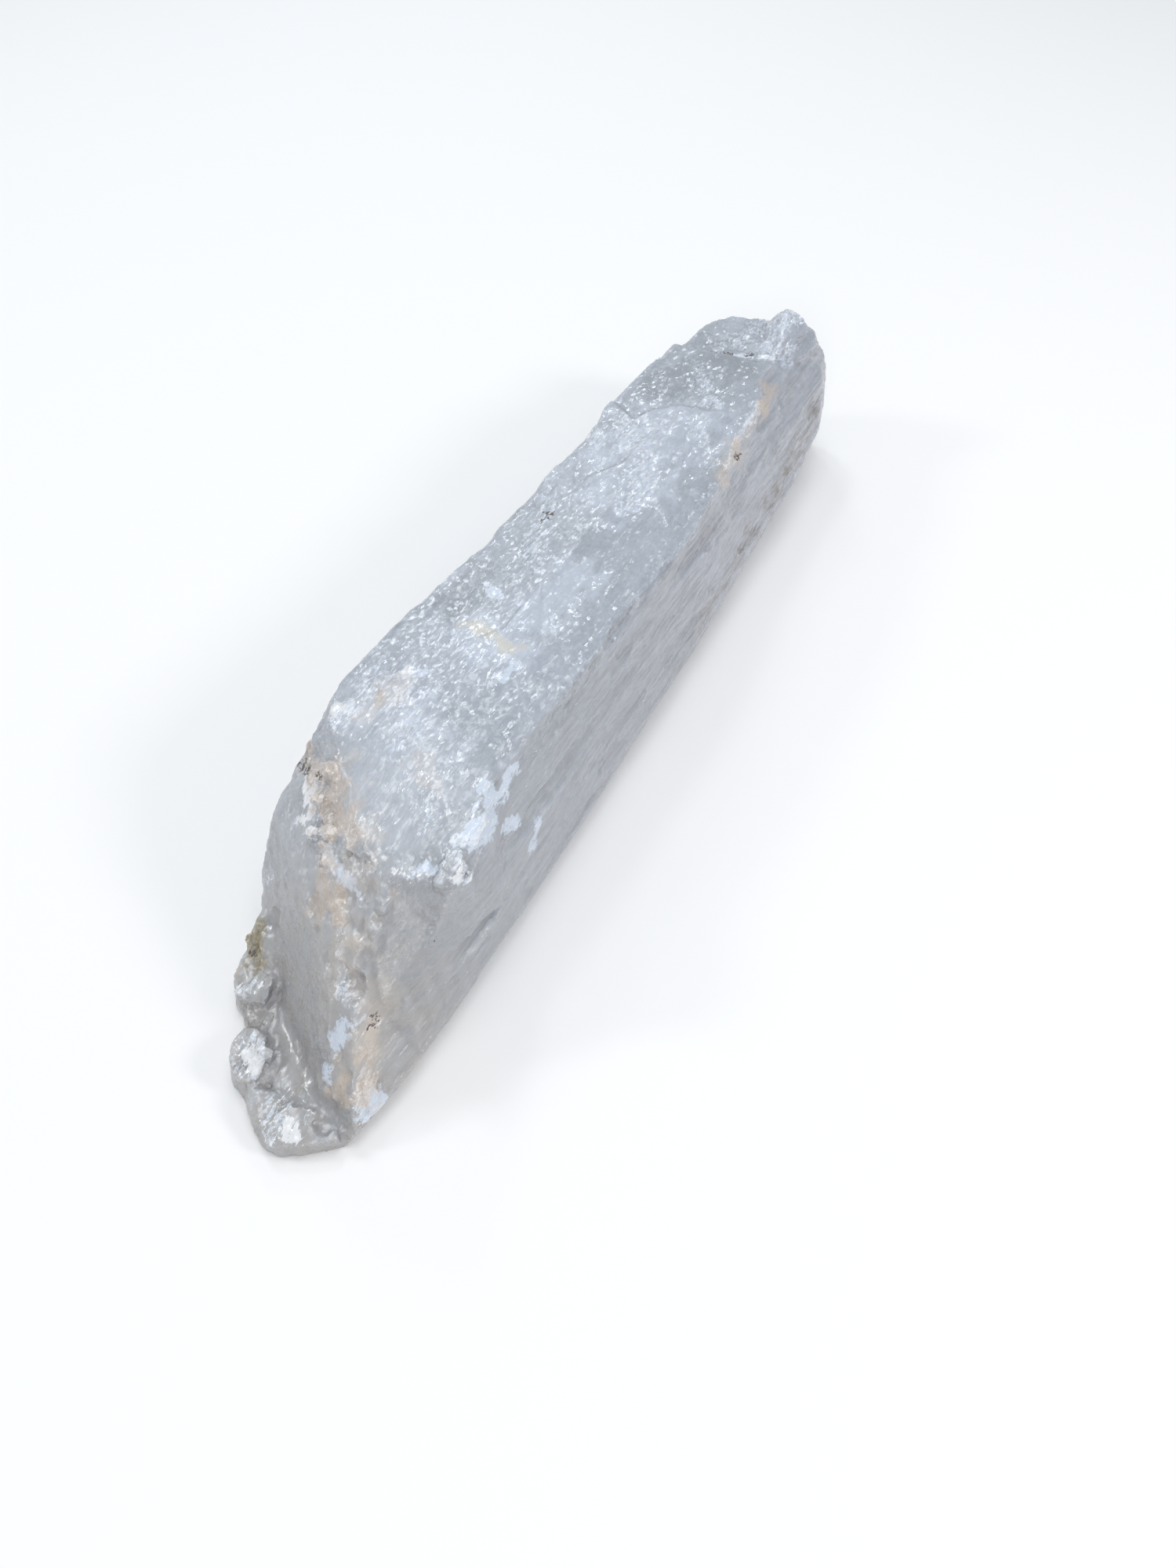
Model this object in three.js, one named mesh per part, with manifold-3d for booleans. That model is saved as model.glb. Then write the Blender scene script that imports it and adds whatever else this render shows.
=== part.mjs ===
// A natural selenite crystal: one broken, four-sided log that lies on its flattest cleavage face.
// Its near end is worn to a wedge with a low ledge at its foot, and its far end is broken off in a step.
// Millimetres, +Z up, +X along the log from the wedge to the broken end, +Y to its left.

import * as THREE from "three";
import { ConvexGeometry } from "three/addons/geometries/ConvexGeometry.js";
import { mergeVertices } from "three/addons/utils/BufferGeometryUtils.js";
import Module from "manifold-3d";

const wasm = await Module();
wasm.setup();

// Driving dimensions

// Where the sections of the blank stand, closer together where the wedge turns.
const STATIONS = [
  -104, -90, -82, -76, -70, -65, -60, -56, -52, -47, -38, -22, 3, 22, 41, 60, 75, 90, 107, 118, 128, 138, 148,
  156, 166,
];
const CUTTER = 400; // a side of the block that splits off everything beyond a plane
const BREAK_SEED = 11; // sets where the chips, steps and grains fall
const MIDDLE = { y: 8, z: 19 }; // the log's long axis
const CLEAR = 1.5; // how far the block of a flake stands clear of the face that it is split from

// The long edges of the log, each as points [x, y, z], followed from the wedge to the broken end.
const EDGES = {
  rightFoot: [
    [-104, -11, 0], [-90, -12, 0], [-77, -13, 0], [-60, -14.5, 0], [0, -14, 0], [62, -13, 0], [103, -10, 0],
    [138, -8.5, 0], [166, -5, 0],
  ],
  rightLow: [
    [-104, -12, 4], [-90, -13.6, 3.5], [-77, -15.6, 4.5], [-60, -16.5, 6], [-38, -17, 6], [3, -16.8, 6],
    [60, -16.4, 10], [75, -16.1, 11], [90, -15.5, 12], [118, -14.8, 14], [138, -13.2, 16.5], [148, -10.8, 18],
    [156, -8, 19], [166, -5, 19],
  ],
  rightMiddle: [
    [-104, -11.5, 7], [-90, -13, 8], [-82, -12, 10], [-76, -10, 13.5], [-70, -8.6, 17], [-62, -11, 22],
    [-56, -12.8, 25.5], [-46.5, -15.6, 25], [-40, -16.4, 23], [15, -14.6, 22], [60, -14.6, 23],
    [134, -9.4, 27], [148, -9, 28], [166, -4, 28],
  ],
  ridge: [
    [-104, -10.5, 8], [-88, -11.4, 10], [-82, -10.4, 12], [-76.4, -8.7, 15.6], [-70.2, -6.1, 19.9],
    [-65.5, -4.8, 22.8], [-60.8, -5.9, 26], [-55.8, -7.9, 29.5], [-52.3, -13.7, 32.7], [-47, -15.3, 35],
    [-38, -12.5, 36], [-22, -8, 36.5], [11, -9.5, 36.5], [54, -11, 36.5], [96, -6, 36.5], [135, 0, 36.5],
    [166, 3, 37],
  ],
  crown: [[-104, 5, 38], [-40, 8, 38.4], [0, 9, 39], [60, 8, 38.6], [130, 11, 37.4], [166, 12, 37]],
  leftTop: [
    [-104, 20, 36], [-52, 24.6, 35.5], [-38, 28.8, 36.6], [-30, 31.4, 37], [-22, 31.8, 37.3], [3, 31.2, 38],
    [12, 30.6, 38], [22, 29, 38], [41, 28, 38], [60, 29, 37.8], [75, 28.4, 37.7], [90, 29.6, 37.5],
    [107, 29.4, 37.4], [118, 28.6, 37.3], [128, 27.2, 37.2], [166, 25, 37],
  ],
  leftMiddle: [
    [-104, 20, 25], [-58, 29, 25], [-45, 32.6, 25], [-20, 33.2, 26], [60, 31, 26], [126, 27.5, 26],
    [166, 26, 26],
  ],
  leftLow: [
    [-104, 14, 10], [-72, 22, 9], [-62, 27.5, 10], [-52, 32, 12], [-30, 34.6, 13], [60, 33.5, 13],
    [120, 30, 14], [166, 27.5, 15],
  ],
  leftFoot: [
    [-104, 10, 0], [-70, 21, 0], [-60, 25, 0], [-30, 29, 0], [60, 28, 0], [120, 25, 0], [166, 22, 0],
  ],
};

// Flat faces of the two ends, each through three points on it, anticlockwise seen from outside.
const WEDGE_FACES = {
  dish: [[-28, 25, 38], [-56.6, -5.2, 33.4], [-28, 0, 38.6]],
  shoulder: [[-36, 20, 36.8], [-60.5, 13.2, 23.8], [-48, 8, 34.6]],
  left: [[-48.7, 21.4, 31.6], [-60.3, 28, 9.1], [-79.6, -3.6, 13.4]],
  front: [[-60.5, 13.2, 23.3], [-73.9, -0.6, 18.7], [-56.6, -5.2, 33.6]],
  blade: [[-73.9, -0.6, 18.5], [-83.5, -4.7, 9], [-82, -10.4, 12]],
  nose: [[-83.5, -4.7, 9], [-90, -8, 0], [-90.2, -13, 1]],
};
const BROKEN_FACES = {
  end: [[157, -2, 10], [155.5, 22, 10], [155, 22, 33]],
  right: [[158, -6, 20], [151, -11, 28], [155, -11, 8]],
  left: [[156, 20, 20], [142, 29, 20], [154, 22, 33]],
};

// The step behind the crack across the far end.
const STEP_CRACK = [[126.5, 31], [131, -4]]; // the two ends of the crack, seen from above
const STEP_LEFT_Z = 33.4;
const STEP_RIGHT_Z = 36.6;
const STEP_SLOPE = { left: 3.1, right: 2.1 }; // how far the crack's wall runs out towards its foot
const STEP_FALL = 1; // how far the floor sinks towards the broken end
const SKY = 60; // a height above everything

// The low ledge round the foot of the wedge: blunt lumps, each the hull of its foot and its top.
const LEDGE_LUMPS = {
  stainedEar: {
    foot: [[-56, 28.5], [-63, 28.6], [-68.5, 27.6], [-70, 20], [-60, 20]],
    top: [[-57, 27.4, 12], [-63, 27, 10.5], [-67.6, 26, 8], [-69, 19, 8], [-61, 20, 13]],
  },
  crumbledKnob: {
    foot: [[-68.5, 27.4], [-74, 26], [-76.6, 23.6], [-77.4, 21.5], [-77, 16], [-70, 16]],
    top: [
      [-69, 26, 7.4], [-73, 25, 7], [-76, 22.6, 6.4], [-76.4, 19.6, 5.8], [-75.5, 16, 7], [-71, 17, 8.5],
    ],
  },
  waist: {
    foot: [[-76, 23], [-78.6, 20], [-81, 17], [-82, 14], [-78, 10], [-74, 14]],
    top: [[-76, 21, 4.6], [-79.4, 17.4, 4], [-81, 13, 4.2], [-76, 14, 5]],
  },
  brightKnob: {
    foot: [[-80, 18], [-86.6, 17], [-89.6, 14.4], [-91.4, 10.4], [-91, 8], [-86, 6], [-79, 11]],
    top: [
      [-81, 16.2, 6.2], [-85.6, 16, 6.8], [-88.6, 13.6, 6.8], [-90.4, 10.2, 6], [-88.5, 8, 5.6],
      [-84, 9.5, 6.8], [-81, 12, 6.6],
    ],
  },
  rib: {
    foot: [[-91.2, 10.4], [-93.6, 7], [-95.8, 4], [-92, -1], [-87, 4]],
    top: [[-90.6, 8.6, 5], [-93.2, 6, 4.6], [-95, 3.4, 4.5], [-91.5, 0, 4.6], [-88.5, 4, 4.2]],
  },
  glossyToe: {
    foot: [[-95.4, 4.4], [-97.5, 0.4], [-97.3, -2.6], [-94.6, -6.8], [-90.4, -12], [-86, -9], [-89, 0]],
    top: [
      [-95, 2.6, 4.6], [-97.2, -0.4, 4], [-97, -3, 4], [-94, -8, 4.2], [-91, -11.6, 4.4], [-88, -7.5, 6.4],
      [-90, -1, 6.6],
    ],
  },
  hollowFloor: {
    foot: [[-74, 18], [-80, 12], [-88, 6], [-93, 0], [-88, -8], [-76, 0], [-68, 16]],
    top: [[-74, 17, 4], [-81, 11, 3], [-89, 4, 3.2], [-91, -3, 4.2], [-84, -4, 5], [-74, 8, 5.5]],
  },
};

// The raised corner of the broken end.
const FAR_KNOB = {
  foot: [[134, -4, 28], [156.5, -7, 24], [159, 8, 22], [143, 11, 33]],
  top: [
    [154.5, 5.6, 40], [155.4, 1.6, 38.8], [155, -2.6, 35.8], [150, -5, 35.4], [155.4, 9.4, 36.4],
    [138, 1, 36.8], [149, 9, 36.2],
  ],
};

// The thin sheet that has split off the far end of the top: its outline, seen from above, and its floor.
const MISSING_SHEET = [
  [96, 38], [95, 29], [90, 20.6], [95, 19], [101, 14.4], [102, 8.4], [104.5, 2.5], [101.5, -8], [103, -14],
  [138, -14], [138, 38],
];
const SHEET_FLOOR = 36.9;

// Small repeats: ranges in millimetres. Scoops are coarse balls that dip into the surface.
const EDGE_SCOOPS = { detail: 1, radius: [5, 11], stretch: [1.6, 3.6], depth: [0.6, 1.7], lean: 0.5 };
const GRAIN_SCOOPS = { detail: 0, radius: [2, 4.6], stretch: [1, 1.8], depth: [0.5, 1.2], lean: 0.5 };
const SIDE_FLAKES = { length: [12, 46], width: [2, 6.5], depth: [0.3, 0.8] };
const TOP_FLAKES = { length: [26, 74], width: [8, 19], depth: [0.25, 0.5] };
const CRUMBS = { size: [1.6, 3.4], breadth: 0.8, thickness: 0.55, sunk: [0.3, 0.9] };
const SPLINTERS = {
  count: 13, length: 20, width: [3, 9], height: [6, 18], depth: [0.5, 2.6], turn: 0.16, y: [-6, 24], z: [3, 34],
};

// How many scoops each long edge has, the way that they come from, and from where to where.
const SCOOPED_EDGES = [
  { edge: "ridge", outward: [0, -0.7, 0.7], count: 27, from: -44, to: 150 },
  { edge: "leftTop", outward: [0, 0.7, 0.7], count: 25, from: -44, to: 126 },
  { edge: "rightFoot", outward: [0, -0.8, -0.6], count: 16, from: -60, to: 150 },
  { edge: "leftFoot", outward: [0, 0.8, -0.6], count: 16, from: -50, to: 150 },
];

// Which strips between neighbouring edges the flakes came off, how many, and from where to where.
const FLAKED_STRIPS = [
  { below: "rightLow", above: "rightMiddle", sizes: SIDE_FLAKES, count: 13, from: -72, to: 148 },
  { below: "rightMiddle", above: "ridge", sizes: SIDE_FLAKES, count: 5, from: -36, to: 144 },
  { below: "rightFoot", above: "rightLow", sizes: SIDE_FLAKES, count: 4, from: -60, to: 140 },
  { below: "leftMiddle", above: "leftTop", sizes: SIDE_FLAKES, count: 6, from: -40, to: 140 },
  { below: "leftLow", above: "leftMiddle", sizes: SIDE_FLAKES, count: 9, from: -44, to: 144 },
  { below: "leftFoot", above: "leftLow", sizes: SIDE_FLAKES, count: 5, from: -50, to: 140 },
  { below: "ridge", above: "crown", sizes: TOP_FLAKES, count: 5, from: -10, to: 100 },
  { below: "leftTop", above: "crown", sizes: TOP_FLAKES, count: 5, from: -10, to: 100 },
];

// Where grains stick out or are missing: triangles on the surface, and how many each. One grain in
// three sticks out, and on a proud place all of them do.
const PROUD_ONE_IN = 3;
const CRUMBLED = [
  { corners: [[-60.5, 13.2, 23.3], [-73.9, -0.6, 18.7], [-56.6, -5.2, 33.2]], count: 20 },
  { corners: [[-56.6, -5.2, 33.2], [-73.9, -0.6, 18.7], [-66, -5, 22.6]], count: 8 },
  { corners: [[-38, 23, 36], [-49, 21, 31.4], [-46, 10, 34.4]], count: 7 },
  { corners: [[-49, 21, 31.4], [-60.5, 13.2, 23.8], [-50, 8, 33]], count: 8 },
  { corners: [[-79, -4, 14], [-83.5, -5, 9], [-82, -10.4, 12]], count: 7 },
  { corners: [[-83.5, -5, 9], [-90, -8, 2], [-84, -11, 10]], count: 8 },
  { corners: [[-63, 27, 10.5], [-67.6, 26, 8], [-61, 20, 13]], count: 5 },
  { corners: [[-69, 26, 7.4], [-76, 22.6, 6.4], [-71, 17, 8.5]], count: 11 },
  { corners: [[-81, 16.2, 6.2], [-90.4, 10.2, 6], [-84, 9.5, 6.8]], count: 8 },
  { corners: [[-95, 2.6, 4.6], [-91, -11.6, 4.4], [-90, -1, 6.6]], count: 6 },
  { corners: [[-46, -14.6, 34.4], [-53, -12, 33], [-44, -10, 35.4]], count: 10, proud: true },
  { corners: [[131, 14, 36.6], [131, -2, 36.8], [136, 4, 36.4]], count: 5 },
  { corners: [[156, 20, 14], [157, -2, 10], [156, 8, 34]], count: 10 },
  { corners: [[154.2, -2.6, 12], [148.2, -7.4, 26], [154.2, 1.4, 32]], count: 4, proud: true },
];

// Tools

// Seeded random numbers from 0 to 1, so that the crystal is the same each time.
function seeded(seed) {
  let state = seed;
  return () => {
    state = (state + 0x6d2b79f5) | 0;
    let t = Math.imul(state ^ (state >>> 15), 1 | state);
    t = (t + Math.imul(t ^ (t >>> 7), 61 | t)) ^ t;
    return ((t ^ (t >>> 14)) >>> 0) / 4294967296;
  };
}
const random = seeded(BREAK_SEED);
const between = ([low, high]) => low + (high - low) * random();
const anyAngle = () => between([0, Math.PI]);
const turned = (geometry) => geometry.rotateX(anyAngle()).rotateY(anyAngle()).rotateZ(anyAngle());

function solidOf(geometry) {
  const bare = geometry.clone();
  bare.deleteAttribute("normal");
  bare.deleteAttribute("uv");
  const merged = mergeVertices(bare, 1e-4);
  return new wasm.Manifold(
    new wasm.Mesh({
      numProp: 3,
      vertProperties: new Float32Array(merged.attributes.position.array),
      triVerts: new Uint32Array(merged.index.array),
    }),
  );
}

function geometryOf(solid) {
  const mesh = solid.getMesh();
  return new THREE.BufferGeometry()
    .setAttribute("position", new THREE.BufferAttribute(mesh.vertProperties, 3))
    .setIndex(new THREE.BufferAttribute(mesh.triVerts, 1));
}

const hullOf = (points) => solidOf(new ConvexGeometry(points.map((p) => new THREE.Vector3(...p))));

// A point on a long edge at the place x along the log.
function along(edge, x) {
  const after = Math.max(1, edge.findIndex((p, i) => p[0] >= x || i === edge.length - 1));
  const [a, b] = [edge[after - 1], edge[after]];
  const share = (x - a[0]) / (b[0] - a[0]);
  return [x, a[1] + share * (b[1] - a[1]), a[2] + share * (b[2] - a[2])];
}

// The block of everything beyond the plane through three points, to be split off.
function beyond(points) {
  const plane = new THREE.Plane().setFromCoplanarPoints(...points.map((p) => new THREE.Vector3(...p)));
  const turn = new THREE.Quaternion().setFromUnitVectors(new THREE.Vector3(0, 0, 1), plane.normal);
  const block = new THREE.BoxGeometry(CUTTER, CUTTER, CUTTER)
    .translate(0, 0, CUTTER / 2)
    .applyQuaternion(turn)
    .translate(...points[0]);
  return solidOf(block);
}

// A blunt lump: the hull of its foot, which stands at z = 0 unless it says otherwise, and its top.
const lump = ({ foot, top }) => hullOf([...foot.map(([x, y, z = 0]) => [x, y, z]), ...top]);

// The crystal, from its blank

// The log before it was broken: its sections, joined from end to end.
function blank() {
  const edges = Object.values(EDGES);
  const sides = edges.length;
  const positions = STATIONS.flatMap((x) => edges.flatMap((edge) => along(edge, x)));
  const faces = [];
  for (let i = 0; i < STATIONS.length - 1; i++)
    for (let j = 0; j < sides; j++) {
      const next = (j + 1) % sides;
      const [a, b, c, d] = [i * sides + j, i * sides + next, (i + 1) * sides + next, (i + 1) * sides + j];
      faces.push(a, c, b, a, d, c);
    }
  const last = (STATIONS.length - 1) * sides;
  for (let j = 1; j < sides - 1; j++) {
    faces.push(0, j, j + 1);
    faces.push(last, last + j + 1, last + j);
  }
  return solidOf(new THREE.BufferGeometry()
    .setAttribute("position", new THREE.BufferAttribute(new Float32Array(positions), 3))
    .setIndex(faces));
}

// The block over the step at the far end. Its floor rises from left to right.
function stepBlock() {
  const [[leftX, leftY], [rightX, rightY]] = STEP_CRACK;
  const far = STATIONS.at(-1) + STEP_FALL;
  const floor = [
    [leftX + STEP_SLOPE.left / 2, leftY, STEP_LEFT_Z], [rightX + STEP_SLOPE.right / 2, rightY, STEP_RIGHT_Z],
    [far, leftY, STEP_LEFT_Z - STEP_FALL], [far, rightY, STEP_RIGHT_Z - STEP_FALL],
  ];
  const top = [
    [leftX - STEP_SLOPE.left / 2, leftY, SKY], [rightX - STEP_SLOPE.right / 2, rightY, SKY],
    [far, leftY, SKY], [far, rightY, SKY],
  ];
  return hullOf([...floor, ...top]);
}

// One scoop: a coarse ball, drawn out along the log, that dips a little way into the surface.
function scoop(sizes, spot, outward) {
  const radius = between(sizes.radius);
  const lean = () => between([-sizes.lean, sizes.lean]);
  const away = new THREE.Vector3(...outward)
    .add(new THREE.Vector3(lean(), lean(), lean()))
    .normalize();
  const stretch = between(sizes.stretch);
  const reach = Math.hypot(away.x * stretch, away.y, away.z) * radius - between(sizes.depth);
  const ball = turned(new THREE.IcosahedronGeometry(radius, sizes.detail))
    .scale(stretch, 1, 1)
    .translate(...new THREE.Vector3(...spot).addScaledVector(away, reach));
  return solidOf(ball);
}

// One long thin flake off a flat side: a pointed six-sided plate that bites deeper at one end.
function flake({ below, above, sizes, from, to }) {
  const x = between([from, to]);
  const low = new THREE.Vector3(...along(EDGES[below], x));
  const high = new THREE.Vector3(...along(EDGES[above], x));
  const spot = low.clone().lerp(high, between([0.1, 0.9]));
  const away = new THREE.Vector3(1, 0, 0).cross(high.sub(low));
  if (away.dot(new THREE.Vector3(0, spot.y - MIDDLE.y, spot.z - MIDDLE.z)) < 0) away.negate();
  const length = between(sizes.length);
  const depth = between(sizes.depth);
  const plate = new THREE.CylinderGeometry(0.5, 0.5, 2 * CLEAR, 6)
    .rotateY(Math.PI / 2)
    .scale(length, 1, between(sizes.width))
    .translate(0, CLEAR - depth / 2, 0)
    .rotateZ((between([-1, 1]) * depth) / length)
    .rotateX(Math.atan2(away.z, away.y))
    .translate(...spot);
  return solidOf(plate);
}

// A place at random on a triangle of the surface, and the way that the triangle faces.
function placeOn(corners) {
  const [a, b, c] = corners.map((p) => new THREE.Vector3(...p));
  const first = Math.sqrt(random());
  const second = random();
  const spot = new THREE.Vector3()
    .addScaledVector(a, 1 - first)
    .addScaledVector(b, first * (1 - second))
    .addScaledVector(c, first * second);
  return { spot, facing: new THREE.Triangle(a, b, c).getNormal(new THREE.Vector3()) };
}

// One crumb: a small rhombic block that is half sunk in the surface.
function crumb(spot, facing) {
  const size = between(CRUMBS.size);
  const block = turned(new THREE.BoxGeometry(size, size * CRUMBS.breadth, size * CRUMBS.thickness));
  return solidOf(block.translate(...spot.addScaledVector(facing, -between(CRUMBS.sunk))));
}

// One splinter off the broken end: a block that runs along the log and stops a little way inside it.
function splinter() {
  const x = BROKEN_FACES.end[0][0] + SPLINTERS.length / 2 - between(SPLINTERS.depth);
  const block = new THREE.BoxGeometry(SPLINTERS.length, between(SPLINTERS.width), between(SPLINTERS.height))
    .rotateX(between([-SPLINTERS.turn, SPLINTERS.turn]))
    .rotateZ(between([-SPLINTERS.turn, SPLINTERS.turn]))
    .translate(x, between(SPLINTERS.y), between(SPLINTERS.z));
  return solidOf(block);
}

// The sheet that has split off the top: everything above its floor, inside its outline.
function missingSheet() {
  const shape = new THREE.Shape(MISSING_SHEET.map(([x, y]) => new THREE.Vector2(x, y)));
  const block = new THREE.ExtrudeGeometry(shape, { depth: SKY - SHEET_FLOOR, bevelEnabled: false });
  return solidOf(block.translate(0, 0, SHEET_FLOOR));
}

let crystal = blank();
for (const face of Object.values(WEDGE_FACES)) crystal = crystal.subtract(beyond(face));
for (const face of Object.values(BROKEN_FACES)) crystal = crystal.subtract(beyond(face));
crystal = crystal.subtract(stepBlock());
crystal = crystal.subtract(missingSheet());
crystal = crystal.add(lump(FAR_KNOB));
for (const shape of Object.values(LEDGE_LUMPS)) crystal = crystal.add(lump(shape));
for (const strip of FLAKED_STRIPS)
  for (let i = 0; i < strip.count; i++) crystal = crystal.subtract(flake(strip));
for (const { edge, outward, count, from, to } of SCOOPED_EDGES)
  for (let i = 0; i < count; i++)
    crystal = crystal.subtract(scoop(EDGE_SCOOPS, along(EDGES[edge], between([from, to])), outward));
for (let i = 0; i < SPLINTERS.count; i++) crystal = crystal.subtract(splinter());

// Grains are added before any are taken away, so that none bridges a hollow.
const grains = CRUMBLED.flatMap(({ corners, count, proud }) =>
  Array.from({ length: count }, (_, i) => ({ ...placeOn(corners), missing: !proud && i % PROUD_ONE_IN > 0 }))
);
for (const { spot, facing, missing } of grains) if (!missing) crystal = crystal.add(crumb(spot, facing));
for (const { spot, facing, missing } of grains)
  if (missing) crystal = crystal.subtract(scoop(GRAIN_SCOOPS, spot, facing));

// The resting face is flat, and a grain that hangs on to nothing falls off.
crystal = crystal.subtract(beyond([[0, 0, 0], [0, 1, 0], [1, 0, 0]]));
crystal = crystal.decompose().reduce((whole, piece) => (piece.volume() > whole.volume() ? piece : whole));

const geometry = geometryOf(crystal);
geometry.computeBoundingBox();
const centre = geometry.boundingBox.getCenter(new THREE.Vector3());

const stone = new THREE.MeshStandardMaterial({ color: 0xc3c8cc, roughness: 0.35, metalness: 0 });
const mesh = new THREE.Mesh(geometry, stone);
mesh.name = "crystal";
mesh.position.set(-centre.x, -centre.y, 0);

const part = new THREE.Group();
part.add(mesh);
export default part;
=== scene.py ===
import math

import bpy
import numpy as np
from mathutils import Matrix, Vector


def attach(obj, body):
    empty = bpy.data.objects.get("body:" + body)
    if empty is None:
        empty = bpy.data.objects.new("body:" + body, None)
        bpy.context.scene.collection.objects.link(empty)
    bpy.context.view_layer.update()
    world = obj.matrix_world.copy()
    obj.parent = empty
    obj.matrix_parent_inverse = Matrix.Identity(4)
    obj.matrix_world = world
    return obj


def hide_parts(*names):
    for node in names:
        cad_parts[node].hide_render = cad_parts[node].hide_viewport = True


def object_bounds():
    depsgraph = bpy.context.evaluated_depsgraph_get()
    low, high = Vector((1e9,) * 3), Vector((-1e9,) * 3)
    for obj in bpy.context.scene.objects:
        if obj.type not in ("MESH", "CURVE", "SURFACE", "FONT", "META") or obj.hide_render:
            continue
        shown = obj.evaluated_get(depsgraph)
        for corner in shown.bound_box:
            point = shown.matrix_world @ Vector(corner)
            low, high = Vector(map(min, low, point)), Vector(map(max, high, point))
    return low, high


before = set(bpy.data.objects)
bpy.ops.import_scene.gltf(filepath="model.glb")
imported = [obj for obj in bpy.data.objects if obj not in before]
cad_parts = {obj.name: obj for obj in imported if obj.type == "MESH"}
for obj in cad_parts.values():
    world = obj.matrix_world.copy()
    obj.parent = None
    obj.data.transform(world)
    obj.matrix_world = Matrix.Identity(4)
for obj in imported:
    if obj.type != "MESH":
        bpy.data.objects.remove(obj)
CAD_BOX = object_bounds()
MM = 0.001


# SELENITE CRYSTAL
# One broken log of milky gypsum, cleaved along its length into sheets and fibres. The broken
# near end is a stained wedge on a crumbled ledge, and the upper face is dished and bruised white.
# It was prised out of the rock and never cut, so nothing on it is a made surface.
SKIN_STEP = 0.76 * MM        # size of the small squares that the skin is made of
WORN_ROUNDS = 10             # how far an edge has worn in, as rounds of smoothing
FAR_BREAK_ROUNDS = 45        # how far the break at the far end has worn, in the same way
LENGTH_OF_GRAIN = 15.0       # a fibre is this many times longer than it is wide

# Places are in millimetres: x runs from the wedge to the far end, y to the left, z up.
# Each mark is a stroke from one place to another with a half-width.
# Opaque white scars, where the stone was struck.
WHITE_BRUISES = [
    ((-52.7, -18.4, 34.6), (-58.5, -19.6, 33.6), 1.5),
    ((-60.5, -18.2, 35.0), (-66.0, -21.0, 34.0), 2.4),
    ((-64.5, -20.5, 34.8), (-71.0, -21.6, 35.4), 3.0),
    ((-58.2, -22.6, 27.4), (-63.5, -23.0, 29.5), 1.4),
    ((-57.6, -24.8, 20.3), (-54.4, -24.6, 23.0), 1.3),
    ((-83.0, 4.6, 29.6), (-85.2, 1.8, 29.0), 1.4),
    ((-85.2, 1.8, 29.0), (-87.2, -3.4, 29.3), 1.4),
    ((-80.7, -17.6, 34.8), (-80.9, -16.0, 34.6), 1.3),
    ((-106.4, -14.4, 17.2), (-109.0, -13.2, 14.6), 2.1),
    ((-114.4, -14.2, 8.8), (-113.0, -12.6, 10.4), 1.3),
    ((-115.5, -22.3, 5.9), (-112.4, -22.6, 6.6), 2.2),
    ((-57.6, 19.0, 37.4), (-56.4, 17.6, 37.6), 1.6),
    ((-42.9, 12.8, 38.2), (-41.8, 8.6, 38.4), 1.2),
    ((-14.9, 6.4, 38.6), (-12.4, 11.6, 38.2), 1.1),
    ((-13.5, -1.0, 38.6), (-15.0, 2.4, 38.6), 0.8),
    ((-34.5, -5.2, 38.2), (-31.0, -6.0, 38.2), 1.5),
    ((-88.2, -4.4, 29.6), (-89.0, -7.4, 28.6), 1.0),
    ((97.2, 14.6, 35.0), (101.0, 7.0, 35.0), 0.9),
    ((101.0, 7.0, 35.0), (103.6, -2.0, 35.8), 1.2),
    ((103.6, -2.0, 35.8), (104.6, -7.0, 36.0), 0.9),
]
# Fine cracks that scatter the light: white frost flecks, partly real frost and partly painted glints
# and a painted sheen.
FROSTED_GLINTING_PLACES = [
    ((55.6, 11.0, 37.6), (44.0, 2.0, 38.0), 6.5),
    ((42.0, -1.0, 38.0), (27.0, -3.4, 38.0), 4.2),
    ((90.0, 8.5, 36.9), (76.0, -2.6, 36.9), 2.6),
    ((66.0, -2.0, 37.4), (58.0, -9.0, 36.4), 3.4),
    ((47.2, 16.0, 37.4), (50.0, 18.0, 37.4), 3.0),
    ((107.0, -4.9, 35.7), (121.8, -4.0, 38.8), 4.4),
    ((108.0, 6.0, 35.0), (122.0, 2.0, 36.0), 3.0),
    ((54.0, -16.0, 35.5), (82.0, -12.0, 35.5), 1.6),
    ((20.0, 14.0, 37.6), (4.0, 8.0, 38.4), 3.2),
    ((-42.0, 15.0, 38.2), (-60.0, 17.5, 37.6), 3.0),
    ((-46.0, 8.0, 38.2), (-60.0, 2.0, 37.4), 2.2),
    ((-64.3, -5.6, 37.5), (-71.9, -12.1, 36.2), 2.4),
    ((-75.0, -2.0, 35.4), (-84.9, 5.0, 29.4), 2.4),
    ((-70.0, 16.0, 32.4), (-81.0, 8.0, 30.2), 3.4),
    ((-82.0, -17.5, 34.6), (-84.5, -5.0, 32.0), 1.2),
    ((-79.8, -23.6, 34.8), (-76.6, -20.8, 36.2), 2.6),
    ((-78.0, 13.4, 27.6), (-78.4, 15.0, 27.0), 1.8),
    ((-87.8, 19.1, 13.8), (-86.0, 18.6, 17.0), 1.6),
    ((-93.5, -5.5, 25.5), (-104.0, -12.4, 18.4), 1.2),
    ((-107.6, -18.9, 13.2), (-114.0, -20.0, 9.0), 1.8),
    ((-106.8, 12.5, 6.6), (-103.4, 12.0, 7.0), 1.8),
    ((-115.0, 3.4, 6.0), (-118.5, 0.8, 5.7), 2.6),
    ((-125.0, -10.4, 4.6), (-121.0, -6.0, 4.6), 2.4),
]
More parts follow.
